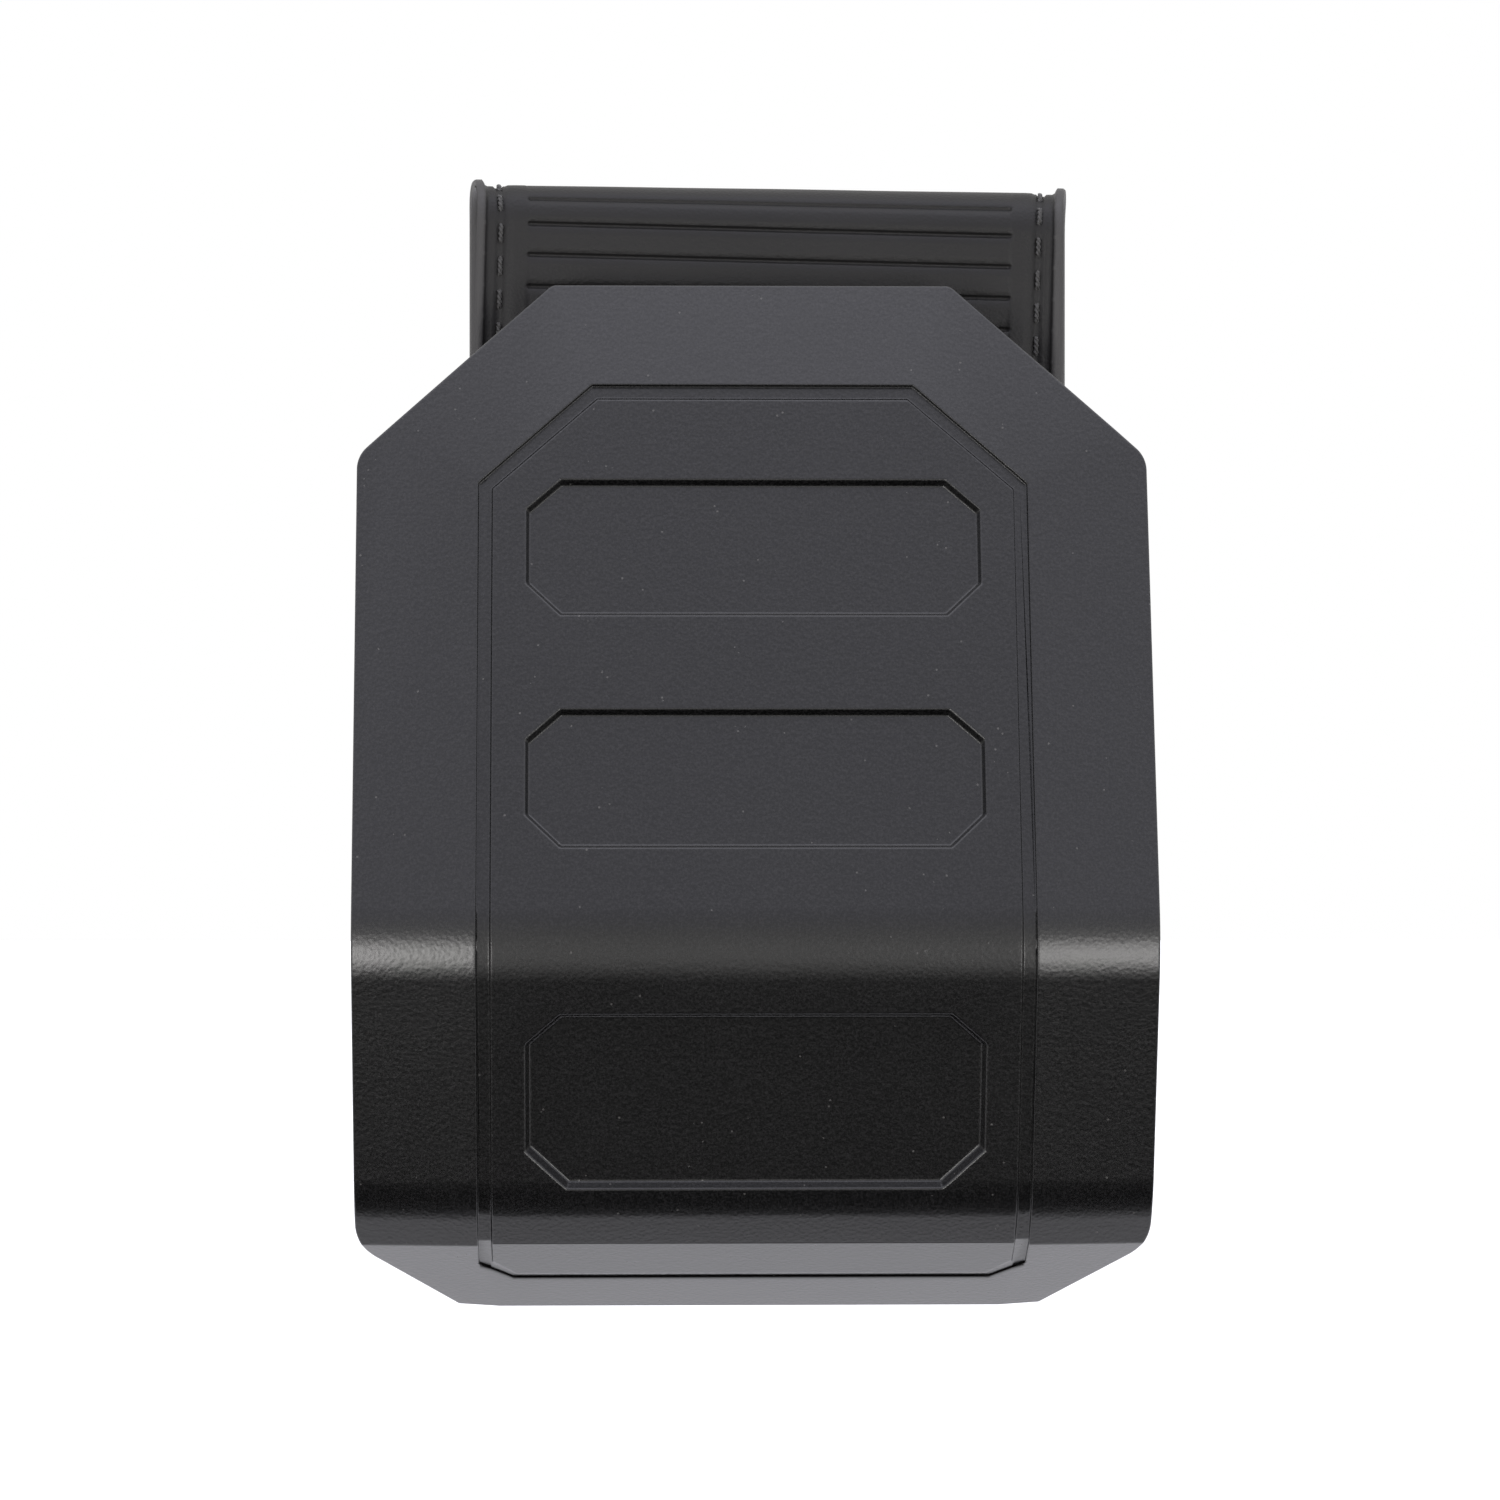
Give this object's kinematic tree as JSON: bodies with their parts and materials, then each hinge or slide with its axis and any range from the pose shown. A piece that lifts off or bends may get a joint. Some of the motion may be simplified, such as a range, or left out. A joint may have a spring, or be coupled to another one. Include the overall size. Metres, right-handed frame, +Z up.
{
  "type": "hard-shell belt pouch",
  "caption": "Belt pouch with a wedge-shaped moulded lid, bevelled border and eight-sided recesses, hung on a ribbed stitched strap fold over a sewn pouch with a snap-open belt loop.",
  "frame": {"origin": "middle of the belt slot, between the pouch's back and its belt loop", "axes": "+Z up, +X to the right seen from the front and along the belt, +Y out of the back towards the wearer"},
  "size_m": [0.12, 0.0644, 0.1748],
  "materials": {
    "shell": "fine spark-eroded moulded grain, semi-matt",
    "lid_cloth": "brushed knit lining",
    "brass": "knurled, dull",
    "dark_steel": "blackened, satin",
    "strap": "moulded, matt, ribbed",
    "strap_lining": "coated split leather, matt",
    "thread": "twisted bonded nylon",
    "hook_tape": "hook tape",
    "loop_tape": "loop tape",
    "pouch_cloth": "coated woven nylon",
    "liner_cloth": "brushed knit lining",
    "tape": "grosgrain binding tape",
    "board": "extruded sheet",
    "webbing": "herringbone webbing",
    "snap_black": "black lacquer, satin"
  },
  "bodies": {
    "pouch": {"strap_cover_back": "strap", "strap_lining_back": "strap_lining", "strap_thread_back": "thread", "loop_patch": "loop_tape", "pouch_front": "pouch_cloth", "pouch_gusset": "pouch_cloth", "pouch_liner": "liner_cloth", "mouth_binding": "tape", "pouch_back": "pouch_cloth", "back_board": "board", "back_liner": "liner_cloth", "back_binding": "tape", "front_seam": "thread", "belt_loop_anchor": "webbing", "loop_thread": "thread", "anchor_rivets": "dark_steel", "rivet_washers": "dark_steel", "snap_studs": "dark_steel", "snap_posts": "dark_steel"},
    "lid": {"lid_shell": "shell", "lid_lining": "lid_cloth", "boss_inserts": "brass", "clamp_plate": "dark_steel", "clamp_screws": "dark_steel", "strap_cover_front": "strap", "strap_lining_front": "strap_lining", "strap_thread_front": "thread", "hook_patch": "hook_tape"},
    "loop": {"belt_loop_flap": "webbing", "snap_caps": "snap_black", "snap_sockets": "dark_steel"}
  },
  "joints": [
    {"name": "lid_hinge", "type": "hinge", "parent": "pouch", "child": "lid", "pos_m": [0, -0.01, 0.0582], "axis": [-1, 0, 0], "range_deg": [0, 130], "deforming": ["strap_cover_back", "strap_lining_back", "strap_thread_back"]},
    {"name": "belt_loop_hinge", "type": "hinge", "parent": "pouch", "child": "loop", "pos_m": [0, -0.0012, 0.032], "axis": [1, 0, 0], "range_deg": [0, 120]}
  ]
}
